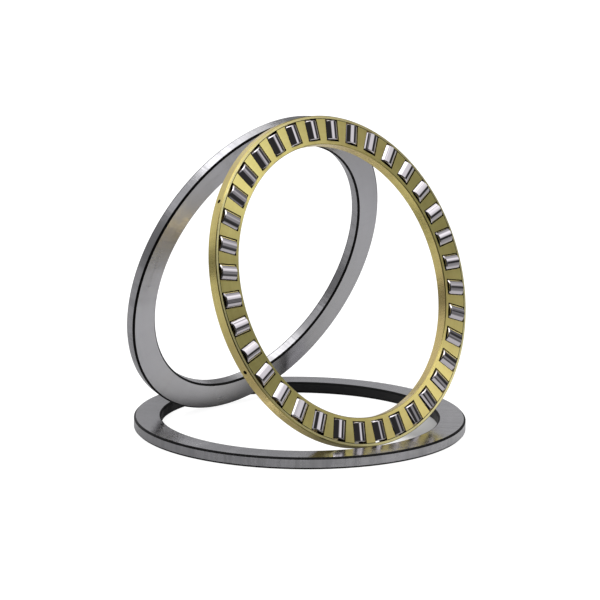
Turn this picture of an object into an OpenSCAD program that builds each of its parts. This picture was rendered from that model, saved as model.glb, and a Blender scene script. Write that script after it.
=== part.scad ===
// Cylindrical roller thrust bearing, taken apart and set out as in the photograph:
// the housing washer lies flat, the shaft washer and the cage with its rollers stand
// in its bore and lean on each other, roller against raceway.
// Millimetres, +Z up. The origin is on the housing washer's axis, at its seat face.

/* [Housing washer] */
// Outside diameter, the fit in the housing
housing_od = 500; // [480:1:520]
// Bore, which clears the shaft
housing_bore = 417.5; // [414:0.5:430]
// Thickness of both washers
washer_t = 17.5; // [12:0.5:22]
// Chamfer on the edges of both washers
washer_edge = 2.2; // [0.5:0.1:3]

/* [Shaft washer] */
// Outside diameter, a little under the housing washer's
shaft_od = 492.5; // [486:0.5:498]
// Bore, the fit on the shaft
shaft_bore = 408; // [404:1:416]

/* [Cage] */
// Outside diameter over the retaining band
cage_od = 495.5; // [490:0.5:500]
// Bore of the cage
cage_bore = 409; // [406:1:414]
// Thickness between the two faces
cage_t = 17.5; // [14:0.5:19]
// Wall left between the bore and the flat ends of the pockets
inner_wall = 6.2; // [4:0.1:7]
// Radial width of the retaining band that closes the pockets
band_w = 4.8; // [4:0.1:6]
// Chamfer on the cage's outer corners
cage_edge = 1.1; // [0.2:0.1:1.5]
// Small chamfer on each side of the seam between cage and band
seam_edge = 0.4; // [0.1:0.1:0.8]
// Diameter of the pins that hold the band
pin_d = 4.6; // [3:0.1:6]
// How far a pin reaches into the bar behind the band
pin_depth = 11; // [6:0.5:14]
// How far the pins' outer ends lie below the band
pin_recess = 1.6; // [0.5:0.1:2.5]

/* [Rollers] */
// Diameter
roller_d = 27.5; // [24:0.5:28]
// Length
roller_l = 29; // [24:0.5:30]
// Bevel at both ends
roller_bevel = 1.2; // [0.5:0.1:2]
// Radial clearance of a roller in its drilled pocket
pocket_clear = 0.5; // [0.3:0.05:0.8]
// Clearance between a roller and the pocket's flat end
end_clear = 0.9; // [0.4:0.1:2]

/* [Layout] */
// Lean of the two standing rings from upright
lean = 19.5; // [15:0.1:24]
// Turn of the shaft washer about the upright, seen from above
washer_turn = 0.5; // [-2:0.1:2]
// Turn of the cage about the upright
cage_turn = -0.9; // [-2:0.1:2]
// Distance of the cage's centre in front of the housing washer's axis
cage_front = 84; // [75:0.5:95]
// Gap left where the top rollers rest against the shaft washer
touch_gap = 0.8; // [0.3:0.05:1]
// Turn of the cage about its own axis, from a roller right at the top
cage_phase = -0.4; // [-5:0.1:5]

/* [Hidden] */
$fn = 180;
eps = 1;
rollers = 36;
pitch = 360 / rollers;
pins = 6;

// Radii along a pocket, from the bore outwards
pocket_in = cage_bore / 2 + inner_wall;
pocket_out = cage_od / 2 - band_w;
pocket_r = roller_d / 2 + pocket_clear;
roller_in = pocket_in + end_clear;

// Heights of the standing rings' centres with their lowest edge on the floor,
// which is where the chamfer meets the outside
washer_z = shaft_od / 2 * cos(lean) + (washer_t / 2 - washer_edge) * sin(lean);
cage_z = cage_od / 2 * cos(lean) + (cage_t / 2 - cage_edge) * sin(lean);

// The spread of the two centres that brings the top roller's outer corner
// to touch_gap from the shaft washer's raceway
roller_reach = roller_in + roller_l - roller_bevel;
spread = (touch_gap + washer_t / 2 + roller_reach * sin(2 * lean)
    + roller_d / 2 * cos(2 * lean) + (cage_z - washer_z) * sin(lean)) / cos(lean);
cage_y = -cage_front;
washer_y = cage_y + spread;

function two_digits(i) = str(i < 10 ? "0" : "", i);
function roller_name(i) = str("roller_", two_digits(i));
function pin_name(i) = str("cage_pin_", i);

// Angle of roller i and of pin i, anticlockwise from the right on the near face.
// The last roller is the one at the top; the pins sit in bars halfway between rollers.
function roller_angle(i) = 90 + cage_phase + i * pitch;
function pin_angle(i) = 90 + cage_phase + 5.5 * pitch + (i - 1) * 360 / pins;

// A flat ring about Z with its mid-plane at z = 0. edge_in and edge_out are the
// chamfers along the bore and along the outside.
module flat_ring(r_in, r_out, t, edge_in, edge_out) {
    rotate_extrude()
        polygon([
            [r_in, -t / 2 + edge_in], [r_in + edge_in, -t / 2],
            [r_out - edge_out, -t / 2], [r_out, -t / 2 + edge_out],
            [r_out, t / 2 - edge_out], [r_out - edge_out, t / 2],
            [r_in + edge_in, t / 2], [r_in, t / 2 - edge_in]
        ]);
}

// Stands the shaft washer in the bore, top leaning towards the front
module lean_washer()
    translate([0, washer_y, washer_z]) rotate([0, 0, washer_turn])
        rotate([90 + lean, 0, 0]) children();

// Stands the cage in the bore, top leaning towards the back
module lean_cage()
    translate([0, cage_y, cage_z]) rotate([0, 0, cage_turn])
        rotate([90 - lean, 0, 0]) children();

// Puts something made along +Z on a spoke of the cage, starting at radius r
module on_spoke(angle, r)
    rotate([0, 0, angle]) translate([r, 0, 0]) rotate([0, 90, 0]) children();

module housing_washer() {
    color("silver")
        translate([0, 0, washer_t / 2])
            flat_ring(housing_bore / 2, housing_od / 2, washer_t, washer_edge, washer_edge);
}

module shaft_washer() {
    color("lightgrey")
        lean_washer()
            flat_ring(shaft_bore / 2, shaft_od / 2, washer_t, washer_edge, washer_edge);
}

// The comb: each pocket is drilled radially from outside, wider than the ring is
// thick, so it breaks out of both faces as a window that is narrower than its roller.
module cage_ring() {
    color("goldenrod")
        lean_cage()
            difference() {
                flat_ring(cage_bore / 2, pocket_out, cage_t, cage_edge, seam_edge);
                for (i = [1 : rollers])
                    on_spoke(roller_angle(i), pocket_in)
                        cylinder(r = pocket_r, h = pocket_out - pocket_in + eps);
                for (i = [1 : pins])
                    on_spoke(pin_angle(i), pocket_out - pin_depth)
                        cylinder(d = pin_d, h = pin_depth + eps);
            }
}

// The band shrunk over the comb, which closes the open ends of the pockets
module retaining_band() {
    color("darkgoldenrod")
        lean_cage()
            difference() {
                flat_ring(pocket_out, cage_od / 2, cage_t, seam_edge, cage_edge);
                for (i = [1 : pins])
                    on_spoke(pin_angle(i), pocket_out - eps)
                        cylinder(d = pin_d, h = band_w + 2 * eps);
            }
}

// A plain pin through the band into a bar, its outer end below the surface
module cage_pin(i) {
    color("peru")
        lean_cage()
            on_spoke(pin_angle(i), pocket_out - pin_depth)
                cylinder(d = pin_d, h = pin_depth + band_w - pin_recess);
}

module roller(i) {
    r = roller_d / 2;
    b = roller_bevel;
    color("whitesmoke")
        lean_cage()
            on_spoke(roller_angle(i), roller_in)
                rotate_extrude()
                    polygon([
                        [0, 0], [r - b, 0], [r, b],
                        [r, roller_l - b], [r - b, roller_l], [0, roller_l]
                    ]);
}

housing_washer();
shaft_washer();
cage_ring();
retaining_band();
for (i = [1 : pins])
    cage_pin(i);
for (i = [1 : rollers])
    roller(i);
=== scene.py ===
"""Cylindrical roller thrust bearing, dressed for the photograph.

The CAD model gives every place and size. This script turns finer meshes for the
washers, the comb cage, its band, pins and rollers, lays procedural finishes on
them, and sets up the white studio with the camera at the photograph's view.
"""

import math

import bmesh
import bpy
import numpy as np
from bpy.props import FloatProperty, FloatVectorProperty, IntProperty, PointerProperty
from mathutils import Matrix, Vector


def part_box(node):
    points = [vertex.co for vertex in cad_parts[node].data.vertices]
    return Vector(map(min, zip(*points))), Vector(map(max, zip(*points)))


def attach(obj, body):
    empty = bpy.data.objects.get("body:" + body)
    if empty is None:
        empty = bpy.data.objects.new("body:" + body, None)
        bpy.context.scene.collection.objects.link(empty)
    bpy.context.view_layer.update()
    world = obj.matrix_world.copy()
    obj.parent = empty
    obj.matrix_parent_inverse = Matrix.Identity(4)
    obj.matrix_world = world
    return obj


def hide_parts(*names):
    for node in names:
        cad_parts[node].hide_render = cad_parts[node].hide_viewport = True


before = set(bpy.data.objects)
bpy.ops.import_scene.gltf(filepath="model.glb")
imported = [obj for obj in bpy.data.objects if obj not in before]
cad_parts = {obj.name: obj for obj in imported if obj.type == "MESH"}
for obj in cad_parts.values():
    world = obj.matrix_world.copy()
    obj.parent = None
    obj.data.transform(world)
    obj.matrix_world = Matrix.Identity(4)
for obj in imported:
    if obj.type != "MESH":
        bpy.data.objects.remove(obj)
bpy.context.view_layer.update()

bl_info = {
    "name": "Cylindrical Roller Thrust Bearing",
    "version": (1, 0, 0),
    "blender": (4, 5, 0),
    "location": "3D Viewport > Sidebar > Thrust Bearing",
    "description": "Builds a thrust bearing taken apart: two washers, a brass comb cage and its rollers",
    "category": "Add Mesh",
}

HOUSING_LOW, HOUSING_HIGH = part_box("housing_washer")
ROLLERS = sorted(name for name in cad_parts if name.startswith("roller_"))
PINS = sorted(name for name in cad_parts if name.startswith("cage_pin_"))

# The angle from one roller to the next
PITCH = math.tau / len(ROLLERS)

# How much a step in height counts against a step in radius in the marks round a ring,
# so that they run on over its rims
RIM_RUN = 1.31

# The radius given to the middle of a turned piece, where its faces close
AXIS = 1e-6


def length(name, about, default, low=0.0, high=1.0):
    """A length setting in metres."""
    return FloatProperty(
        name=name, description=about, default=default, min=low, max=high,
        precision=5, subtype="DISTANCE", unit="LENGTH",
    )


def angle(name, about, degrees):
    """An angle setting, given in degrees."""
    return FloatProperty(
        name=name, description=about, default=math.radians(degrees), subtype="ANGLE", unit="ROTATION",
    )


def colour(name, about, default):
    """A colour setting."""
    return FloatVectorProperty(
        name=name, description=about, default=default, size=3, min=0.0, max=1.0, subtype="COLOR",
    )


def share(name, about, default, low=0.0, high=1.0):
    """A plain number setting between low and high."""
    return FloatProperty(name=name, description=about, default=default, min=low, max=high)


class BearingSizes(bpy.types.PropertyGroup):
    """The bearing's sizes, as in the CAD source apart from the finer edges."""

    housing_od: length(
        "Housing washer OD", "Outside diameter of the housing washer", HOUSING_HIGH.x - HOUSING_LOW.x
    )
    housing_bore: length("Housing washer bore", "Bore of the housing washer", 0.4175)
    shaft_od: length("Shaft washer OD", "Outside diameter of the shaft washer", 0.4925)
    shaft_bore: length("Shaft washer bore", "Bore of the shaft washer", 0.408)
    washer_t: length("Washer thickness", "Thickness of both washers", HOUSING_HIGH.z - HOUSING_LOW.z)
    washer_edge: length("Washer chamfer", "Chamfer on the washers' edges", 0.0022)
    cage_od: length("Cage OD", "Outside diameter over the retaining band", 0.4955)
    cage_bore: length("Cage bore", "Bore of the cage", 0.409)
    cage_t: length("Cage thickness", "Thickness between the cage's faces", 0.0175)
    inner_wall: length("Inner wall", "Wall between the bore and the pockets' ends", 0.0062)
    band_w: length("Band width", "Radial width of the retaining band", 0.0048)
    cage_edge: length("Cage chamfer", "Chamfer on the cage's corners", 0.0011)
    seam_edge: length("Seam chamfer", "Chamfer on each side of the seam under the band", 0.0005)
    pocket_edge: length("Pocket edge", "Broken edge round the windows of the pockets", 0.0009)
    pin_d: length("Pin diameter", "Diameter of the pins that hold the band", 0.0046)
    pin_edge: length("Pin hole edge", "How much wider a pin hole is at the surface", 0.0008)
    pin_depth: length("Pin depth", "How far a pin reaches into the bar behind the band", 0.011)
    pin_recess: length("Pin recess", "How far a pin's end lies below the band", 0.0016)
    roller_d: length("Roller diameter", "Diameter of the rollers", 0.0275)
    roller_l: length("Roller length", "Length of the rollers", 0.029)
    roller_bevel: length("Roller bevel", "Bevel at both ends of the rollers", 0.0012)
    pocket_clear: length("Pocket clearance", "Radial clearance of a roller in its pocket", 0.0005)
    end_clear: length("End clearance", "Clearance at a roller's end", 0.0009)
    touch_gap: length("Touch gap", "Gap where the top rollers rest against the washer", 0.0008)
    cage_front: length("Cage centre", "Distance of the cage's centre in front of the axis", 0.084)
    lean: angle("Lean", "Lean of the standing rings from upright", 19.5)
    washer_turn: angle("Washer turn", "Turn of the shaft washer about the upright", 0.5)
    cage_turn: angle("Cage turn", "Turn of the cage about the upright", -0.9)
    cage_phase: angle("Cage phase", "Turn of the cage about its own axis", -0.4)
    steps: IntProperty(
        name="Steps", description="Straight pieces in a full turn of the big rings",
        default=720, min=144, max=1440,
    )


class BearingFinish(bpy.types.PropertyGroup):
    """Colours of the metals and the studio."""

    steel: colour("Ground steel", "Colour of the washers' steel", (0.45, 0.445, 0.46))
    roller_steel: colour("Roller steel", "Colour of the rollers' polished steel", (0.56, 0.53, 0.55))
    scale: colour("Chamfer scale", "Dark heat-treatment scale on the chamfers", (0.004, 0.004, 0.004))
    bore_scale: colour("Bore scale", "The same in the housing washer's bore", (0.014, 0.014, 0.015))
    brass: colour("Cage brass", "Colour of the machined brass", (0.97, 0.88, 0.34))
    band_brass: colour("Band brass", "Colour of the turned band", (0.90, 0.78, 0.29))
    # The pocket brass is painted shade: nearly black, so that pockets, pin holes and seam read dark.
    pocket_painted_shade_brass: colour("Pocket painted shade brass", "Colour of the drilled pocket walls", (0.035, 0.026, 0.012))
    floor: colour("Floor", "Colour of the studio floor", (0.88, 0.88, 0.88))
    key: share("Overhead light", "Strength of the softbox overhead", 1.20, 0.0, 10.0)


# The places of the three rings


def sizes():
    """The size settings."""
    return bpy.context.scene.thrust_bearing_sizes


def finish():
    """The finish settings."""
    return bpy.context.scene.thrust_bearing_finish


def standing_pose(y, z, turn, lean):
    """Stands a ring, made flat about Z, on its edge at (0, y, z)."""
    upright = Matrix.Rotation(math.radians(90) + lean, 4, "X")
    return Matrix.Translation((0, y, z)) @ Matrix.Rotation(turn, 4, "Z") @ upright


def rings():
    """The three rings' poses, worked out as in the CAD source."""
    s = sizes()
    sin, cos = math.sin(s.lean), math.cos(s.lean)
    washer_z = s.shaft_od / 2 * cos + (s.washer_t / 2 - s.washer_edge) * sin
    cage_z = s.cage_od / 2 * cos + (s.cage_t / 2 - s.cage_edge) * sin
    roller_reach = pocket_in() + s.end_clear + s.roller_l - s.roller_bevel
    spread = (
        s.touch_gap + s.washer_t / 2 + roller_reach * math.sin(2 * s.lean)
        + s.roller_d / 2 * math.cos(2 * s.lean) + (cage_z - washer_z) * sin
    ) / cos
    return {
        "housing": Matrix.Translation((0, 0, s.washer_t / 2)),
        "shaft": standing_pose(spread - s.cage_front, washer_z, s.washer_turn, s.lean),
        "cage": standing_pose(-s.cage_front, cage_z, s.cage_turn, -s.lean),
    }


def pocket_in():
    """Radius of the pockets' flat ends."""
    return sizes().cage_bore / 2 + sizes().inner_wall


def pocket_out():
    """Radius of the seam between comb and band."""
    return sizes().cage_od / 2 - sizes().band_w


def roller_angle(i):
    """Angle of roller i, counted from 1, anticlockwise from the right on the near face."""
    return math.radians(90) + sizes().cage_phase + i * PITCH


def pin_angle(i):
    """Angle of pin i, in the bar halfway between two rollers."""
    return roller_angle(5.5) + (i - 1) * math.tau / len(PINS)


def spoke(a, r=0.0):
    """Lays something made along Z on a spoke of the cage, starting at radius r."""
    outwards = Matrix.Rotation(math.radians(90), 4, "Y")
    return Matrix.Rotation(a, 4, "Z") @ Matrix.Translation((r, 0, 0)) @ outwards


# Turning and drilling


class Blank:
    """A workpiece: its points, its faces and the finish number of every face."""

    def __init__(self):
        self.points, self.faces, self.finishes = [], [], []

    def point(self, *xyz):
        self.points.append(Vector(xyz))
        return len(self.points) - 1

    def face(self, corners, finish_no):
        self.faces.append(tuple(corners))
        self.finishes.append(finish_no)

    def skin(self, one, other, finish_no, closed=True):
        """Joins two rows of points with four-sided faces."""
        last = len(one) if closed else len(one) - 1
        for i in range(last):
            j = (i + 1) % len(one)
            self.face((one[i], one[j], other[j], other[i]), finish_no)

    def ring(self, r, z, steps):
        """A row of points round Z."""
        turns = [math.tau * k / steps for k in range(steps)]
        return [self.point(r * math.cos(t), r * math.sin(t), z) for t in turns]

    def turn(self, outline, steps, closed=True):
        """Turns an outline of (radius, height, finish) about Z. A finish belongs to the stretch
        that starts at its point, and only a closed outline has one from its last point."""
        rows = [self.ring(r, z, steps) for r, z, _ in outline]
        for k in range(len(rows) if closed else len(rows) - 1):
            self.skin(rows[k], rows[(k + 1) % len(rows)], outline[k][2])

    def wall_with_holes(self, rows, finish_no, holes, half, radius):
        """Skins a wall of several rows and leaves a round hole of this radius at each column in
        holes, inside a patch of half columns either way. Returns the points round each hole."""
        steps = len(rows[0])
        patches = {(h + k) % steps for h in holes for k in range(-half, half)}
        for low, high in zip(rows, rows[1:]):
            for i in range(steps):
                if i not in patches or low is rows[0] or high is rows[-1]:
                    j = (i + 1) % steps
                    self.face((low[i], low[j], high[j], high[i]), finish_no)
        inside = rows[1:-1]
        rims = []
        for h in holes:
            columns = [(h + k) % steps for k in range(-half, half + 1)]
            loop = [inside[0][c] for c in columns]
            loop += [row[columns[-1]] for row in inside[1:-1]]
            loop += [inside[-1][c] for c in reversed(columns)]
            loop += [row[columns[0]] for row in reversed(inside[1:-1])]
            rims.append(self.bore_rim(loop, self.points[inside[0][h]], radius, finish_no))
        return rims

    def bore_rim(self, loop, middle, radius, finish_no):
        """Draws a patch's border in to a circle on the wall round the spoke through middle."""
        out = Vector((middle.x, middle.y, 0)).normalized()
        along = Vector((-out.y, out.x, 0))
        wall = Vector((middle.x, middle.y, 0)).length
        circle = []
        for index in loop:
            p = self.points[index]
            side = Vector((p.dot(along), p.z)).normalized() * radius
            p = out * math.sqrt(wall**2 - side.x**2) + along * side.x + Vector((0, 0, side.y))
            circle.append(self.point(*p))
        self.skin(loop, circle, finish_no)
        return circle

    def piece(self, name, materials, pose, body, slot, *nodes):
        """Makes the mesh object, lets it ride on its body and stand for its CAD nodes."""
        mesh = bpy.data.meshes.new(name)
        mesh.from_pydata(self.points, [], self.faces)
        mesh.polygons.foreach_set("material_index", self.finishes)
        mesh.polygons.foreach_set("use_smooth", [True] * len(self.faces))
        shape = bmesh.new()
        shape.from_mesh(mesh)
        bmesh.ops.recalc_face_normals(shape, faces=shape.faces)
        shape.to_mesh(mesh)
        shape.free()
        mesh.set_sharp_from_angle(angle=math.radians(32))
        mark_turning(mesh)
        for material in materials:
            mesh.materials.append(material)
        place(name, mesh, pose, body, slot, *nodes)


def mark_turning(mesh):
    """Keeps each point's place on its own workpiece, and a UV map that runs around its axis,
    so that marks and highlights follow the turning after the piece is laid in the frame."""
    points = np.empty(len(mesh.vertices) * 3, np.float32)
    mesh.vertices.foreach_get("co", points)
    mesh.attributes.new("workpiece", "FLOAT_VECTOR", "POINT").data.foreach_set("vector", points)
    points = points.reshape(-1, 3)
    corners = np.empty(len(mesh.loops), np.int32)
    mesh.loops.foreach_get("vertex_index", corners)
    starts = np.empty(len(mesh.polygons), np.int32)
    mesh.polygons.foreach_get("loop_start", starts)
    first = np.repeat(corners[starts], np.diff(np.append(starts, len(corners))))
    around = np.arctan2(points[corners, 1], points[corners, 0])
    base = np.arctan2(points[first, 1], points[first, 0])
    around = base + (around - base + np.pi) % (2 * np.pi) - np.pi
    across = np.hypot(points[corners, 0], points[corners, 1]) + RIM_RUN * points[corners, 2]
    turned = np.stack([around / (2 * np.pi), across], 1).astype(np.float32)
    mesh.uv_layers.new(name="Turned").data.foreach_set("uv", turned.ravel())


def place(name, mesh, pose, body, slot, *nodes):
    """Lays a mesh in the frame as a piece that rides on its body and stands for its CAD nodes."""
    mesh.transform(pose)
    piece = bpy.data.objects.new(name, mesh)
    bpy.context.scene.collection.objects.link(piece)
    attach(piece, body)
    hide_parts(*nodes)
    for node in nodes:
        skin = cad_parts[node].data.materials
        skin.clear()
        skin.append(mesh.materials[0])


def soften(corners, radius, arc=3, flat=0.0004, bevel=None):
    """Rounds the corners of a closed outline of (radius, height, finish) and keeps a narrow
    strip beside every rounding, so that the wide faces stay flat in the light. The strips and
    roundings beside a stretch of the bevel's finish take that finish too."""
    outline = []
    for k, (r, z, finish_no) in enumerate(corners):
        here = Vector((r, z))
        back = Vector(corners[k - 1][:2]) - here
        on = Vector(corners[(k + 1) % len(corners)][:2]) - here
        half = back.angle(on) / 2
        run = radius / math.tan(half)
        # Under half of a stretch, so that the strips at its two ends never meet
        strip_back = min(run + flat, back.length / 2.2)
        strip_on = min(run + flat, on.length / 2.2)
        centre = here + (back.normalized() + on.normalized()).normalized() * radius / math.sin(half)
        start = here + back.normalized() * run - centre
        end = here + on.normalized() * run - centre
        before = corners[k - 1][2]
        edge = bevel if bevel in (before, finish_no) else min(before, finish_no)
        outline.append((*(here + back.normalized() * strip_back), edge))
        sweep = start.angle_signed(end)
        for step in range(arc + 1):
            spot = centre + Matrix.Rotation(-sweep * step / arc, 2) @ start
            outline.append((*spot, edge))
        outline.append((*(here + on.normalized() * strip_on), finish_no))
    return outline


def washer_corners(r_in, r_out, back, outside, bevel, raceway, bore):
    """Corners of a washer's section, each with the number of the finish after it. The raceway
    is the upper face."""
    top, edge = sizes().washer_t / 2, sizes().washer_edge
    return [
        (r_in, -top + edge, bevel), (r_in + edge, -top, back),
        (r_out - edge, -top, bevel), (r_out, -top + edge, outside),
        (r_out, top - edge, bevel), (r_out - edge, top, raceway),
        (r_in + edge, top, bevel), (r_in, top - edge, bore),
    ]


# Finishes


def mask_group(name, inputs, outputs):
    """A new shader node group that takes these (name, default) numbers and puts out these masks."""
    group = bpy.data.node_groups.new(name, "ShaderNodeTree")
    for socket, default in inputs:
        made = group.interface.new_socket(name=socket, in_out="INPUT", socket_type="NodeSocketFloat")
        made.default_value = default
    for socket in outputs:
        group.interface.new_socket(name=socket, in_out="OUTPUT", socket_type="NodeSocketFloat")
    return group


class Bench:
    """Short ways to lay out nodes in a tree."""

    def __init__(self, tree):
        self.tree = tree

    def add(self, kind, **settings):
        """Adds a node of this kind, without the Node or ShaderNode before its name."""
        prefix = "Node" if kind in {"GroupInput", "GroupOutput"} else "ShaderNode"
        node = self.tree.nodes.new(prefix + kind)
        for key, value in settings.items():
            setattr(node, key, value)
        return node

    def link(self, value, socket):
        """Links an output to this input, or sets the input to a plain value."""
        if isinstance(value, bpy.types.NodeSocket):
            self.tree.links.new(value, socket)
        else:
            socket.default_value = value

    def feed(self, node, **inputs):
        """Feeds a node's inputs by name, where an underscore stands for a space."""
        for key, value in inputs.items():
            self.link(value, node.inputs[key.replace("_", " ")])

    def fill(self, node, *values):
        """Feeds a node's inputs in their order and passes over those given as None."""
        for socket, value in zip(node.inputs, values):
            if value is not None:
                self.link(value, socket)

    def math(self, operation, *values, clamp=False):
        node = self.add("Math", operation=operation, use_clamp=clamp)
        self.fill(node, *values)
        return node.outputs[0]

    def times(self, one, other):
        return self.math("MULTIPLY", one, other)

    def vector(self, operation, *values):
        """A vector worked out from others. Use measure where the answer is a number."""
        node = self.add("VectorMath", operation=operation)
        self.fill(node, *values)
        return node.outputs["Vector"]

    def measure(self, operation, *values):
        """A number worked out from vectors, such as a length or a dot product."""
        node = self.add("VectorMath", operation=operation)
        self.fill(node, *values)
        return node.outputs["Value"]

    def mix(self, factor, one, other):
        """Mixes two colours."""
        node = self.add("Mix", data_type="RGBA")
        for index, value in ((0, factor), (6, one), (7, other)):
            self.link((*value, 1.0) if isinstance(value, tuple) else value, node.inputs[index])
        return node.outputs[2]

    def band(self, value, low, high, out_low=0.0, out_high=1.0):
        """Maps a value from one range to another, smoothly and clamped."""
        node = self.add("MapRange", interpolation_type="SMOOTHSTEP")
        self.fill(node, value, low, high, out_low, out_high)
        return node.outputs[0]

    def noise(self, vector, scale, detail=2.0, roughness=0.5):
        node = self.add("TexNoise")
        self.feed(node, Vector=vector, Scale=scale, Detail=detail, Roughness=roughness)
        return node.outputs[0]

    def workpiece(self):
        """Each point's place on its own workpiece, as mark_turning left it."""
        return self.add("Attribute", attribute_name="workpiece").outputs["Vector"]

    def camera_share(self, path):
        """1 for what the camera sees, also through glass, and 0 for every other ray."""
        rays = path.outputs
        return self.math("ADD", rays["Is Camera Ray"], rays["Is Transmission Ray"], clamp=True)

    def backdrop_share(self, path):
        """How much of the white backdrop a ray sees: all of it for the camera, and a little in
        the metal, which mirrors a dim room around the table."""
        mirrored = self.times(path.outputs["Is Glossy Ray"], 0.02)
        return self.math("ADD", self.camera_share(path), mirrored, clamp=True)


def turning_marks():
    """The fine circles that a lathe or a grinder leaves round a ring's own axis, on its faces
    and rims alike, and the streaks that wiping leaves across them. Height is for a Bump node
    and the others run from 0 to 1."""
    group = bpy.data.node_groups.get("Turning Marks")
    if group:
        return group
    group = mask_group(
        "Turning Marks",
        [("Lines per Metre", 900.0), ("Waver", 0.4), ("Coarse", 60.0)],
        ["Height", "Tone", "Broad", "Streak"],
    )
    b = Bench(group)
    given = b.add("GroupInput").outputs
    place_in_ring = b.add("SeparateXYZ")
    b.fill(place_in_ring, b.workpiece())
    x, y, z = place_in_ring.outputs
    radius = b.math("SQRT", b.math("ADD", b.times(x, x), b.times(y, y)))
    around = b.math("ARCTAN2", y, x)
    across = b.math("ADD", radius, b.times(z, RIM_RUN))
    swept = b.times(around, b.times(given["Waver"], 3.0))
    fine, broad, crosswise = (b.add("CombineXYZ") for _ in range(3))
    b.fill(fine, b.times(across, given["Lines per Metre"]), swept)
    b.fill(broad, b.times(across, given["Coarse"]), b.times(swept, 1.5))
    b.fill(crosswise, b.math("DIVIDE", x, radius), b.math("DIVIDE", y, radius), b.times(across, 0.25))
    lines = b.noise(fine.outputs[0], 1.0, 3.0, 0.65)
    slow = b.noise(broad.outputs[0], 1.0, 2.0, 0.5)
    streaks = b.noise(crosswise.outputs[0], 26.0, 5.0, 0.7)
    b.feed(
        b.add("GroupOutput"), Height=lines, Tone=b.band(lines, 0.3, 0.7),
        Broad=b.band(slow, 0.3, 0.7), Streak=b.band(streaks, 0.38, 0.72),
    )
    return group


def handling():
    """What hands and the bench leave: soft smudges, a thin film of oil and hairline scratches."""
    group = bpy.data.node_groups.get("Handling")
    if group:
        return group
    group = mask_group(
        "Handling",
        [("Smudge Size", 9.0), ("Scratch Size", 16.0), ("Scratch Share", 0.5)],
        ["Smudge", "Film", "Scratch"],
    )
    b = Bench(group)
    given = b.add("GroupInput").outputs
    coords = b.workpiece()
    warp = b.add("TexNoise")
    b.feed(warp, Vector=coords, Scale=7.0, Detail=2.0)
    warped = b.vector("MULTIPLY_ADD", warp.outputs["Color"], (0.06, 0.06, 0.06), coords)
    smudge = b.noise(warped, given["Smudge Size"], 5.0, 0.6)
    film = b.noise(warped, b.times(given["Smudge Size"], 0.37), 3.0, 0.5)
    hair = b.add("TexVoronoi", feature="DISTANCE_TO_EDGE")
    b.feed(hair, Vector=warped, Scale=given["Scratch Size"], Randomness=1.0)
    thin = b.band(hair.outputs["Distance"], 0.0, 0.012, 1.0, 0.0)
    rare = b.math("SUBTRACT", 0.95, b.times(given["Scratch Share"], 0.6))
    patchy = b.band(b.noise(coords, 21.0, 2.0), rare, 0.9)
    b.feed(
        b.add("GroupOutput"), Smudge=b.band(smudge, 0.35, 0.75), Film=b.band(film, 0.4, 0.7),
        Scratch=b.times(thin, patchy),
    )
    return group


def metal(name, base, dark, roughness, marks, depth, bump, film=None, worn=0.25, stretch=0.6, wiped=0.0):
    """A machined metal: turning marks in tone and relief, smudges in roughness, and highlights
    that stretch across the marks. marks are the inputs of Turning Marks and depth is their
    depth in tone, roughness is (polished, smudged), film is a tarnish and worn its share, and
    wiped is the depth of the streaks across the marks."""
    material = bpy.data.materials.get(name)
    if material:
        return material
    material = bpy.data.materials.new(name)
    material.use_nodes = True
    b = Bench(material.node_tree)
    shader = material.node_tree.nodes["Principled BSDF"]
    tangent = b.add("Tangent", direction_type="UV_MAP", uv_map="Turned").outputs[0]
    b.feed(shader, Metallic=1.0, Anisotropic=stretch, Anisotropic_Rotation=0.25, Tangent=tangent)
    turned = b.add("Group", node_tree=turning_marks())
    b.feed(turned, Lines_per_Metre=marks[0], Waver=marks[1], Coarse=marks[2])
    lines, touched = turned.outputs, b.add("Group", node_tree=handling()).outputs
    tone = b.mix(b.times(lines["Tone"], depth), base, dark)
    tone = b.mix(b.times(lines["Broad"], depth * 0.7), tone, dark)
    uneven = b.math("ADD", b.times(touched["Smudge"], 0.7), b.times(lines["Broad"], 0.3))
    rough = b.band(uneven, 0.0, 1.0, *roughness)
    rough = b.math("ADD", rough, b.times(touched["Scratch"], 0.12))
    height = lines["Height"]
    if wiped:
        tone = b.mix(b.times(lines["Streak"], wiped), tone, dark)
        rough = b.math("ADD", rough, b.times(lines["Streak"], wiped * 0.2))
        height = b.math("ADD", height, b.times(lines["Streak"], wiped * 9))
    if film:
        tone = b.mix(b.times(touched["Film"], worn), tone, film)
    relief = b.add("Bump")
    b.feed(relief, Height=height, Strength=bump, Distance=0.0002)
    b.feed(shader, Base_Color=tone, Roughness=rough, Normal=relief.outputs[0])
    return material


def ground_steel():
    """The washers' rims and backs, ground and streaky from wiping."""
    return metal(
        "Ground Steel", tuple(finish().steel), dark=(0.30, 0.30, 0.31), roughness=(0.20, 0.34),
        marks=(700.0, 0.5, 45.0), depth=0.30, bump=0.12, film=(0.34, 0.33, 0.32), wiped=0.55,
    )


def raceway_steel():
    """The flat washer's raceway, finely ground so that it mirrors the cage."""
    return metal(
        "Raceway Steel", tuple(finish().steel), dark=(0.28, 0.28, 0.29), roughness=(0.08, 0.20),
        marks=(1100.0, 0.4, 60.0), depth=0.25, bump=0.06, film=(0.33, 0.32, 0.31), worn=0.35,
        wiped=0.60,
    )


def lapped_steel():
    """The leaning washer's raceway, duller and a little darker."""
    return metal(
        "Lapped Steel", (0.42, 0.415, 0.43), dark=(0.33, 0.33, 0.34), roughness=(0.12, 0.28),
        marks=(1100.0, 0.4, 60.0), depth=0.25, bump=0.06, film=(0.38, 0.37, 0.34), worn=0.3,
        wiped=0.2,
    )


def roller_steel():
    """The rollers, polished nearly to a mirror."""
    return metal(
        "Roller Steel", tuple(finish().roller_steel), dark=(0.49, 0.46, 0.48),
        roughness=(0.02, 0.045), marks=(2400.0, 0.8, 200.0), depth=0.2, bump=0.02,
    )


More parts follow.
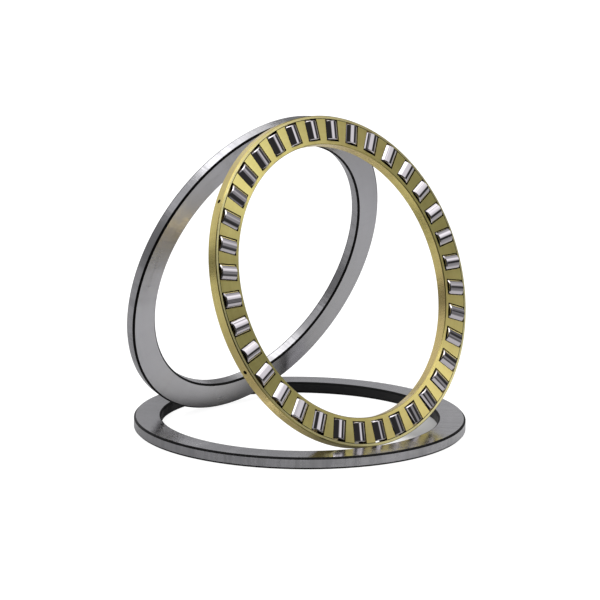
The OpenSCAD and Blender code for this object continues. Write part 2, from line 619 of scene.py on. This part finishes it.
def cage_brass():
    """The comb's faces, turned so finely that the light fans out across the circles."""
    return metal(
        "Cage Brass", tuple(finish().brass), dark=(0.74, 0.64, 0.20), roughness=(0.40, 0.48),
        marks=(800.0, 0.4, 70.0), depth=0.25, bump=0.08, film=(0.86, 0.66, 0.26), worn=0.45,
        stretch=0.97, wiped=0.15,
    )


def band_brass():
    """The band's rim and the comb's bore, turned more coarsely and tarnished in places."""
    return metal(
        "Band Brass", tuple(finish().band_brass), dark=(0.62, 0.50, 0.17), roughness=(0.20, 0.30),
        marks=(1400.0, 0.3, 260.0), depth=0.35, bump=0.15, film=(0.70, 0.50, 0.26), worn=0.6,
        wiped=0.2,
    )


def band_face_brass():
    """The band's narrow faces, a little paler than the comb's."""
    return metal(
        "Band Face Brass", (0.98, 0.91, 0.46), dark=(0.84, 0.75, 0.34), roughness=(0.36, 0.45),
        marks=(1400.0, 0.3, 160.0), depth=0.25, bump=0.08, film=(0.80, 0.64, 0.28), worn=0.4,
        stretch=0.96,
    )


def pocket_painted_shade_brass():
    """Drilled brass deep in the pockets, painted nearly black as shade, so that the pockets, the pin
    holes and the seam under the band read dark.
    """
    return metal(
        "Pocket Painted Shade Brass", tuple(finish().pocket_painted_shade_brass), dark=(0.02, 0.015, 0.008),
        roughness=(0.35, 0.5), marks=(1500.0, 0.6, 300.0), depth=0.5, bump=0.2,
    )


def corner_painted_shade_brass():
    """The chamfers on comb and band, in a much darker brass: painted shade, so that the edges show as
    dark lines.
    """
    return metal(
        "Corner Painted Shade Brass", (0.42, 0.35, 0.12), dark=(0.26, 0.21, 0.07), roughness=(0.26, 0.36),
        marks=(1500.0, 0.5, 200.0), depth=0.4, bump=0.1,
    )


def heat_scale(name, tone, shine):
    """The dark skin that heat treatment leaves where a washer isn't ground."""
    material = bpy.data.materials.get(name)
    if material:
        return material
    material = bpy.data.materials.new(name)
    material.use_nodes = True
    b = Bench(material.node_tree)
    lines, touched = (b.add("Group", node_tree=group) for group in (turning_marks(), handling()))
    b.feed(lines, Lines_per_Metre=2500.0, Waver=2.0, Coarse=120.0)
    b.feed(touched, Smudge_Size=30.0)
    relief = b.add("Bump")
    b.feed(relief, Height=lines.outputs["Height"], Strength=0.3, Distance=0.0002)
    b.feed(
        material.node_tree.nodes["Principled BSDF"], Specular_IOR_Level=shine,
        Base_Color=b.mix(b.times(touched.outputs["Smudge"], 0.2), tone, (0.03, 0.03, 0.03)),
        Roughness=b.band(touched.outputs["Film"], 0.0, 1.0, 0.45, 0.6), Normal=relief.outputs[0],
    )
    return material


def chamfer_scale():
    """The nearly black chamfers of the washers."""
    return heat_scale("Chamfer Scale", tuple(finish().scale), 0.08)


def bore_scale():
    """The housing washer's bore, a little shinier than the chamfers."""
    return heat_scale("Bore Scale", tuple(finish().bore_scale), 0.22)


# The pieces


def washer(name, r_out, r_in, pose, body, raceway, bore):
    """A washer with dark chamfers, and with these finishes on its raceway and in its bore."""
    corners = washer_corners(r_in, r_out, back=0, outside=1, bevel=2, raceway=3, bore=4)
    blank = Blank()
    blank.turn(soften(corners, radius=0.00025, flat=0.0005, bevel=2), sizes().steps)
    materials = [ground_steel(), ground_steel(), chamfer_scale(), raceway, bore]
    blank.piece(name, materials, pose, body, "washer_steel", body + "_washer")


class BEARING_OT_housing_washer(bpy.types.Operator):
    """Turn the housing washer, which lies flat with its raceway up"""

    bl_idname = "bearing.housing_washer"
    bl_label = "Housing washer"

    def execute(self, context):
        s = sizes()
        washer(
            "Housing_Washer", s.housing_od / 2, s.housing_bore / 2, rings()["housing"], "housing",
            raceway_steel(), bore_scale(),
        )
        return {"FINISHED"}


class BEARING_OT_shaft_washer(bpy.types.Operator):
    """Turn the shaft washer, which stands with its raceway towards the cage"""

    bl_idname = "bearing.shaft_washer"
    bl_label = "Shaft washer"

    def execute(self, context):
        s = sizes()
        washer(
            "Shaft_Washer", s.shaft_od / 2, s.shaft_bore / 2, rings()["shaft"], "shaft",
            lapped_steel(), ground_steel(),
        )
        return {"FINISHED"}


def comb_levels():
    """Heights through the comb from face to face, with the plan there: (height, half the
    window's width, radius of the pocket's end, outside radius, bore radius)."""
    s = sizes()
    half = s.cage_t / 2
    edges = [0.0, s.pocket_edge, s.seam_edge, s.cage_edge]
    inner, count = half - s.cage_edge, 6
    heights = sorted(
        {half - e for e in edges} | {e - half for e in edges}
        | {inner * k / count for k in range(-count, count + 1)}
    )
    pocket_r = s.roller_d / 2 + s.pocket_clear
    levels = []
    for z in heights:
        depth = half - abs(z)
        flare = max(0.0, s.pocket_edge - depth)
        levels.append((
            z,
            math.sqrt(pocket_r**2 - z**2) + flare,
            pocket_in() - flare,
            pocket_out() - max(0.0, s.seam_edge - depth),
            s.cage_bore / 2 + max(0.0, s.cage_edge - depth),
        ))
    return levels


class BEARING_OT_cage_comb(bpy.types.Operator):
    """Cut the brass comb: pockets drilled radially from outside, with bars between them"""

    bl_idname = "bearing.cage_comb"
    bl_label = "Comb cage"

    # Straight pieces along a pocket's side, across its end, and along the outside of a bar
    SIDES, ENDS, ARC = 8, 8, 12

    # The finish numbers
    FACE, POCKET, BORE, CORNER = range(4)

    def execute(self, context):
        blank = Blank()
        levels = comb_levels()
        rows = [
            (self.comb_row(blank, z, w, end, r_out), self.bore_row(blank, z, w, end, r_bore))
            for z, w, end, r_out, r_bore in levels
        ]
        pinned = self.pinned_bars()
        straight = sizes().cage_t / 2 - sizes().cage_edge
        for k, ((low, low_in), (high, high_in)) in enumerate(zip(rows, rows[1:])):
            for i in range(len(ROLLERS)):
                self.pocket_walls(blank, low, high, i, pinned)
            middle = abs(levels[k][0] + levels[k + 1][0]) / 2
            one, other = sum(low_in, []), sum(high_in, [])
            blank.skin(one, other, self.BORE if middle < straight else self.CORNER)
        self.drill_pins(blank, rows, pinned)
        for row, inner in (rows[0], rows[-1]):
            self.face_plan(blank, row, inner)
        # The pocket walls and pin holes take the pocket brass, painted nearly black as shade.
        blank.piece(
            "Cage_Comb", [cage_brass(), pocket_painted_shade_brass(), band_brass(), corner_painted_shade_brass()],
            rings()["cage"], "cage", "cage_brass", "cage_ring",
        )
        return {"FINISHED"}

    def comb_row(self, blank, z, w, end, r_out):
        """The points at one level round every pocket and on over the bar after it."""
        edge = math.sqrt(r_out**2 - w**2)
        swing = math.atan2(w, edge)
        row = []
        for i in range(len(ROLLERS)):
            plan = [(edge + (end - edge) * k / self.SIDES, -w) for k in range(self.SIDES)]
            plan += [(end, -w + 2 * w * k / self.ENDS) for k in range(self.ENDS)]
            plan += [(end + (edge - end) * k / self.SIDES, w) for k in range(self.SIDES)]
            for k in range(self.ARC):
                t = swing + (PITCH - 2 * swing) * k / self.ARC
                plan.append((r_out * math.cos(t), r_out * math.sin(t)))
            turned = Matrix.Rotation(roller_angle(i + 1), 2)
            row.append([blank.point(*(turned @ Vector(p)), z) for p in plan])
        return row

    def bore_row(self, blank, z, w, end, r_bore):
        """The points at one level along the bore, in step with the pockets' ends and the bars."""
        reach = math.atan2(w, end)
        spread = [-reach + 2 * reach * k / self.ENDS for k in range(self.ENDS)]
        spread += [reach + (PITCH - 2 * reach) * k / self.ARC for k in range(self.ARC)]
        row = []
        for i in range(len(ROLLERS)):
            turns = [roller_angle(i + 1) + t for t in spread]
            row.append([blank.point(r_bore * math.cos(t), r_bore * math.sin(t), z) for t in turns])
        return row

    @staticmethod
    def pinned_bars():
        """Numbers of the pockets whose following bar holds a pin."""
        return {
            round((pin_angle(k + 1) - PITCH / 2 - roller_angle(1)) / PITCH) % len(ROLLERS)
            for k in range(len(PINS))
        }

    def pocket_walls(self, blank, low, high, i, pinned):
        """Skins one pocket's walls, and the outside of the bar after it where it has no pin."""
        nxt = (i + 1) % len(low)
        count = 2 * self.SIDES + self.ENDS + (0 if i in pinned else self.ARC) + 1
        one, other = low[i] + [low[nxt][0]], high[i] + [high[nxt][0]]
        blank.skin(one[:count], other[:count], self.POCKET, closed=False)

    def drill_pins(self, blank, rows, pinned):
        """Skins the pinned bars' outsides round a blind hole for the pin, which takes up half
        the columns and leaves three rows plain above and below it."""
        first, middle = 2 * self.SIDES + self.ENDS, self.ARC // 2
        left, right = middle - self.ARC // 4, middle + self.ARC // 4
        low, high = 3, len(rows) - 4
        for i in pinned:
            nxt = (i + 1) % len(ROLLERS)
            wall = [row[i][first:] + [row[nxt][0]] for row, _ in rows]
            for j, (one, other) in enumerate(zip(wall, wall[1:])):
                for k in range(self.ARC):
                    if not (left <= k < right and low <= j < high):
                        blank.face((one[k], one[k + 1], other[k + 1], other[k]), self.POCKET)
            loop = wall[low][left:right + 1]
            loop += [wall[j][right] for j in range(low + 1, high)]
            loop += reversed(wall[high][left:right + 1])
            loop += [wall[j][left] for j in range(high - 1, low, -1)]
            centre = blank.points[wall[low][middle]]
            rim = blank.bore_rim(loop, centre, sizes().pin_d / 2, self.POCKET)
            inward = Vector((centre.x, centre.y, 0)).normalized() * -sizes().pin_depth
            floor = [blank.point(*(blank.points[p] + inward)) for p in rim]
            blank.skin(rim, floor, self.POCKET)
            blank.face(floor, self.POCKET)

    def face_plan(self, blank, row, inner):
        """Closes one face: strips between bore and pocket ends, and a panel for every bar."""
        last = self.SIDES + self.ENDS
        for i in range(len(row)):
            nxt = (i + 1) % len(row)
            bore_row, end_row = inner[i][:self.ENDS + 1], row[i][self.SIDES:last + 1]
            blank.skin(bore_row, end_row, self.FACE, closed=False)
            up = row[i][last:] + row[nxt][:self.SIDES + 1]
            down = [inner[nxt][0]] + inner[i][:self.ENDS - 1:-1]
            blank.face(up + down, self.FACE)


class BEARING_OT_retaining_band(bpy.types.Operator):
    """Turn the band that closes the pockets, and drill it for its pins"""

    bl_idname = "bearing.retaining_band"
    bl_label = "Retaining band"

    # Columns either way from a pin hole's middle that its patch takes up
    PATCH = 6

    def execute(self, context):
        s = sizes()
        half, r_in, r_out = s.cage_t / 2, pocket_out(), s.cage_od / 2
        face, rim, hole, corner = range(4)
        blank = Blank()
        columns = [k * s.steps // len(PINS) for k in range(len(PINS))]
        outside = self.wall(blank, r_out, half - s.cage_edge)
        inside = self.wall(blank, r_in, half - s.seam_edge)
        outer = blank.wall_with_holes(outside, rim, columns, self.PATCH, s.pin_d / 2 + s.pin_edge)
        inner = blank.wall_with_holes(inside, rim, columns, self.PATCH, s.pin_d / 2)
        for one, other in zip(outer, inner):
            blank.skin(one, other, hole)
        for side, z in ((0, -half), (-1, half)):
            outer_edge = blank.ring(r_out - s.cage_edge, z, s.steps)
            inner_edge = blank.ring(r_in + s.seam_edge, z, s.steps)
            blank.skin(outside[side], outer_edge, corner)
            blank.skin(outer_edge, inner_edge, face)
            blank.skin(inner_edge, inside[side], hole)
        first_pin = Matrix.Rotation(pin_angle(1), 4, "Z")
        # The pin holes and the inner seam chamfer take the pocket brass, painted nearly black as shade.
        blank.piece(
            "Retaining_Band", [band_face_brass(), band_brass(), pocket_painted_shade_brass(), corner_painted_shade_brass()],
            rings()["cage"] @ first_pin, "cage", "band_brass", "retaining_band",
        )
        return {"FINISHED"}

    @staticmethod
    def wall(blank, r, half, levels=14):
        """Rows of points up a wall, from half below the middle to half above."""
        return [blank.ring(r, -half + 2 * half * k / levels, sizes().steps) for k in range(levels + 1)]


class BEARING_OT_cage_pins(bpy.types.Operator):
    """Turn the pins that hold the band, their ends below its surface"""

    bl_idname = "bearing.cage_pins"
    bl_label = "Cage pins"

    def execute(self, context):
        s = sizes()
        r = s.pin_d / 2
        long = s.pin_depth + s.band_w - s.pin_recess
        nose, crown = 0.0004, 0.0003
        # Painted shade: the pin's end takes the near-black chamfer scale, so that the holes over the
        # pins read black.
        dimple = [(0.0012, long, 0), (0.0008, long - 0.0004, 0), (AXIS, long - 0.0005, 0)]
        section = [
            (AXIS, 0.0, 1), (r - nose, 0.0, 1), (r, nose, 1), (r, long - crown, 0),
            (r - crown, long, 0), *dimple,
        ]
        for k, node in enumerate(PINS):
            blank = Blank()
            blank.turn(section, steps=32, closed=False)
            blank.piece(
                f"Cage_Pin_{k + 1}", [chamfer_scale(), band_brass()],
                rings()["cage"] @ spoke(pin_angle(k + 1), pocket_out() - s.pin_depth),
                "cage", "pin_brass", node,
            )
        return {"FINISHED"}


class BEARING_OT_rollers(bpy.types.Operator):
    """Turn one roller and lay it in every pocket"""

    bl_idname = "bearing.rollers"
    bl_label = "Rollers"

    def execute(self, context):
        s = sizes()
        r, long, bevel = s.roller_d / 2, s.roller_l, s.roller_bevel
        corners = [
            (AXIS, 0.0, 0), (r - bevel, 0.0, 0), (r, bevel, 0), (r, long - bevel, 0),
            (r - bevel, long, 0), (AXIS, long, 0),
        ]
        blank = Blank()
        blank.turn(soften(corners, radius=0.0003), steps=96)
        cage = rings()["cage"]
        for k, node in enumerate(ROLLERS):
            pose = cage @ spoke(roller_angle(k + 1), pocket_in() + s.end_clear)
            name = f"Roller_{k + 1:02d}"
            blank.piece(name, [roller_steel()], pose, node, "roller_steel", node)
        return {"FINISHED"}


# The studio

# The patches of light on the studio's walls: the azimuth and elevation of the middle, the
# angles from it at which a patch begins to fade and is gone, and its strength. They were
# fitted to the highlights on the rollers and rims.
LIGHT_PATCHES = (
    (-147, 82, 18, 25, 0.65),
    (-121, 62, 28, 36, 0.76),
    (-80, 70, 9, 14, 0.70),
    (2, 66, 9, 16, 0.90),
    (34, 41, 19, 29, 1.07),
    (72, 46, 9, 27, 0.62),
    (26, 8, 10, 19, 0.36),
    (176, 28, 30, 41, 0.60),
    (-118, 10, 18, 34, 0.27),
    (122, -12, 42, 54, 0.24),
    (141, 34, 5, 17, 0.57),
    (124, 12, 4, 14, 0.36),
)
DIM_ROOM = 0.022

# What the camera sees of the table: mostly its own glow, and a grey that keeps the shadow
TABLE_GLOW, TABLE_GREY = 0.90, (0.28, 0.28, 0.28)


def camera():
    """The photograph's camera: a long lens from the front left, a little above the rings. Its
    numbers come from fitting the edges of the three rings."""
    azimuth, rise, roll = math.radians(-45.032), math.radians(11.863), math.radians(0.683)
    distance, shift_right, shift_up = 4.2522, 0.0005, 0.1902
    back = Vector((
        math.sin(azimuth) * math.cos(rise), -math.cos(azimuth) * math.cos(rise), math.sin(rise)
    ))
    level = Vector((-back.y, back.x, 0)).normalized()
    upright = back.cross(level)
    right = level * math.cos(roll) + upright * math.sin(roll)
    up = upright * math.cos(roll) - level * math.sin(roll)
    stand = back * distance + right * shift_right + up * shift_up
    data = bpy.data.cameras.new("Camera")
    data.sensor_width = 36.0
    data.lens = 168.917
    data.clip_start, data.clip_end = 0.1, 100
    view = bpy.data.objects.new("Camera", data)
    bpy.context.scene.collection.objects.link(view)
    view.matrix_world = Matrix((
        (right.x, up.x, back.x, stand.x),
        (right.y, up.y, back.y, stand.y),
        (right.z, up.z, back.z, stand.z),
        (0, 0, 0, 1),
    ))
    bpy.context.scene.camera = view


def towards(azimuth, elevation):
    """The direction at this azimuth and elevation in degrees, where azimuth 0 is the front."""
    a, e = math.radians(azimuth), math.radians(elevation)
    return Vector((math.sin(a) * math.cos(e), -math.cos(a) * math.cos(e), math.sin(e)))


def soft_lamp(name, azimuth, elevation, width, strength):
    """A round softbox far off, as wide as this angle in degrees."""
    data = bpy.data.lights.new(name, "SUN")
    data.angle = math.radians(width)
    data.energy = strength
    lamp = bpy.data.objects.new(name, data)
    bpy.context.scene.collection.objects.link(lamp)
    lamp.rotation_euler = towards(azimuth, elevation).to_track_quat("Z", "Y").to_euler()


def shade(b, spot, centre, inner, outer, left):
    """The share of light left in a shaded place on the floor: least within inner of its
    centre, and all of it from outer on."""
    return b.band(b.measure("DISTANCE", spot, (*centre, 0.0)), inner, outer, left, 1.0)


def table_painted_light(b, spot, around):
    """Painted light and shade on the table, for every ray but the camera's: a painted pool of light
    round the bearing, brighter towards the front right, fading beyond it to the dim room, darker
    on the far left. It is painted brightest between the standing rings, and a painted shadow lies
    on a small place left of the cage's foot."""
    away = b.measure("LENGTH", b.vector("SUBTRACT", spot, (0.15, 0.0, 0.0)))
    heading = b.vector("NORMALIZE", spot)
    front, beyond = (b.measure("DOT_PRODUCT", heading, towards(azimuth, 0)) for azimuth in (45, 155))
    painted_pool, room = b.band(front, -1.0, 1.0, 0.50, 0.84), b.band(beyond, -0.9, 0.2, 0.03, 0.62)
    blend = b.add("Mix", data_type="FLOAT")
    b.fill(blend, b.band(away, 0.42, 0.70), None, painted_pool, room)
    # Painted light between the standing rings, within 0.14 m of the middle
    light = b.math("MAXIMUM", blend.outputs[0], b.band(around, 0.14, 0.20, 1.0, 0.0))
    # A painted contact shadow left of the cage's foot
    light = b.times(light, shade(b, spot, (-0.07, -0.15), 0.02, 0.10, 0.40))
    return b.mix(light, (0.0, 0.0, 0.0), tuple(finish().floor))


def studio_floor():
    """A pale table. The camera sees it nearly white, with the shadow kept, and with a painted
    shadow in the narrow corner right of the cage's foot, inside the washer's bore. Every other
    ray sees the table in painted light and shade."""
    mesh = bpy.data.meshes.new("Studio_Floor")
    mesh.from_pydata([(-9, -9, 0), (9, -9, 0), (9, 9, 0), (-9, 9, 0)], [], [(0, 1, 2, 3)])
    ground = bpy.data.objects.new("Studio_Floor", mesh)
    bpy.context.scene.collection.objects.link(ground)
    ground.location.z = -0.0002
    material = bpy.data.materials.new("Studio Floor")
    material.use_nodes = True
    b = Bench(material.node_tree)
    material.node_tree.nodes.clear()
    path = b.add("LightPath")
    spot = b.add("TexCoord").outputs["Object"]
    around = b.measure("LENGTH", spot)
    # A painted shadow: the glow is dimmed to a quarter round this spot, right of the cage's foot, and
    # full again from 0.245 m out, under and beyond the washer.
    corner = shade(b, spot, (0.145, -0.128), 0.055, 0.12, 0.25)
    corner = b.math("MAXIMUM", corner, b.band(around, 0.21, 0.245, 0.0, 1.0))
    diffuse, white, both = b.add("BsdfDiffuse"), b.add("Emission"), b.add("AddShader")
    # Every ray but the camera's sees the table in painted light and shade.
    b.feed(diffuse, Color=b.mix(b.camera_share(path), table_painted_light(b, spot, around), TABLE_GREY))
    b.feed(white, Strength=b.times(b.backdrop_share(path), b.times(corner, TABLE_GLOW)))
    b.fill(both, diffuse.outputs[0], white.outputs[0])
    b.feed(b.add("OutputMaterial"), Surface=both.outputs[0])
    mesh.materials.append(material)


def glow(b, sight, azimuth, elevation, inner, outer, strength):
    """A soft patch of light on the studio's walls: full within inner degrees of its middle,
    gone at outer."""
    near = b.measure("DOT_PRODUCT", sight, towards(azimuth, elevation))
    return b.band(near, math.cos(math.radians(outer)), math.cos(math.radians(inner)), 0.0, strength)


def surround():
    """The world: white where the camera looks past the object, and a dim room with soft
    patches of light for everything else."""
    world = bpy.data.worlds.new("Studio Surround")
    bpy.context.scene.world = world
    world.use_nodes = True
    world.node_tree.nodes.clear()
    b = Bench(world.node_tree)
    sight = b.add("TexCoord").outputs["Generated"]
    level = DIM_ROOM
    for patch in LIGHT_PATCHES:
        level = b.math("ADD", level, glow(b, sight, *patch))
    tint = b.add("CombineColor")
    b.feed(tint, Red=level, Green=level, Blue=b.times(level, 1.03))
    backdrop, room, blend = b.add("Background"), b.add("Background"), b.add("MixShader")
    b.feed(backdrop, Color=(1.0, 1.0, 1.0, 1.0), Strength=1.0)
    b.feed(room, Color=tint.outputs[0])
    b.fill(blend, b.backdrop_share(b.add("LightPath")), room.outputs[0], backdrop.outputs[0])
    b.feed(b.add("OutputWorld"), Surface=blend.outputs[0])


class BEARING_OT_studio(bpy.types.Operator):
    """Set up the pale floor, the white surround, the camera and the softbox overhead"""

    bl_idname = "bearing.studio"
    bl_label = "Studio"

    def execute(self, context):
        studio_floor()
        surround()
        camera()
        soft_lamp("Overhead_Softbox", 152, 82, 62, finish().key)
        context.scene.view_settings.view_transform = "Standard"
        return {"FINISHED"}


STEPS = (
    BEARING_OT_housing_washer, BEARING_OT_shaft_washer, BEARING_OT_cage_comb,
    BEARING_OT_retaining_band, BEARING_OT_cage_pins, BEARING_OT_rollers, BEARING_OT_studio,
)


class BEARING_PT_sidebar(bpy.types.Panel):
    """Builds the bearing piece by piece"""

    bl_idname = "BEARING_PT_sidebar"
    bl_label = "Thrust Bearing"
    bl_space_type = "VIEW_3D"
    bl_region_type = "UI"
    bl_category = "Thrust Bearing"

    def draw(self, context):
        for step in STEPS:
            self.layout.operator(step.bl_idname)
        for settings in (sizes(), finish()):
            box = self.layout.box()
            for name in settings.bl_rna.properties.keys():
                if name not in {"rna_type", "name"}:
                    box.prop(settings, name)


CLASSES = (BearingSizes, BearingFinish, *STEPS, BEARING_PT_sidebar)


def register():
    for cls in CLASSES:
        bpy.utils.register_class(cls)
    bpy.types.Scene.thrust_bearing_sizes = PointerProperty(type=BearingSizes)
    bpy.types.Scene.thrust_bearing_finish = PointerProperty(type=BearingFinish)


def unregister():
    del bpy.types.Scene.thrust_bearing_finish
    del bpy.types.Scene.thrust_bearing_sizes
    for cls in reversed(CLASSES):
        bpy.utils.unregister_class(cls)


def main():
    """Builds every piece and the studio."""
    register()
    bpy.ops.bearing.housing_washer()
    bpy.ops.bearing.shaft_washer()
    bpy.ops.bearing.cage_comb()
    bpy.ops.bearing.retaining_band()
    bpy.ops.bearing.cage_pins()
    bpy.ops.bearing.rollers()
    bpy.ops.bearing.studio()


if __name__ == "__main__":
    main()
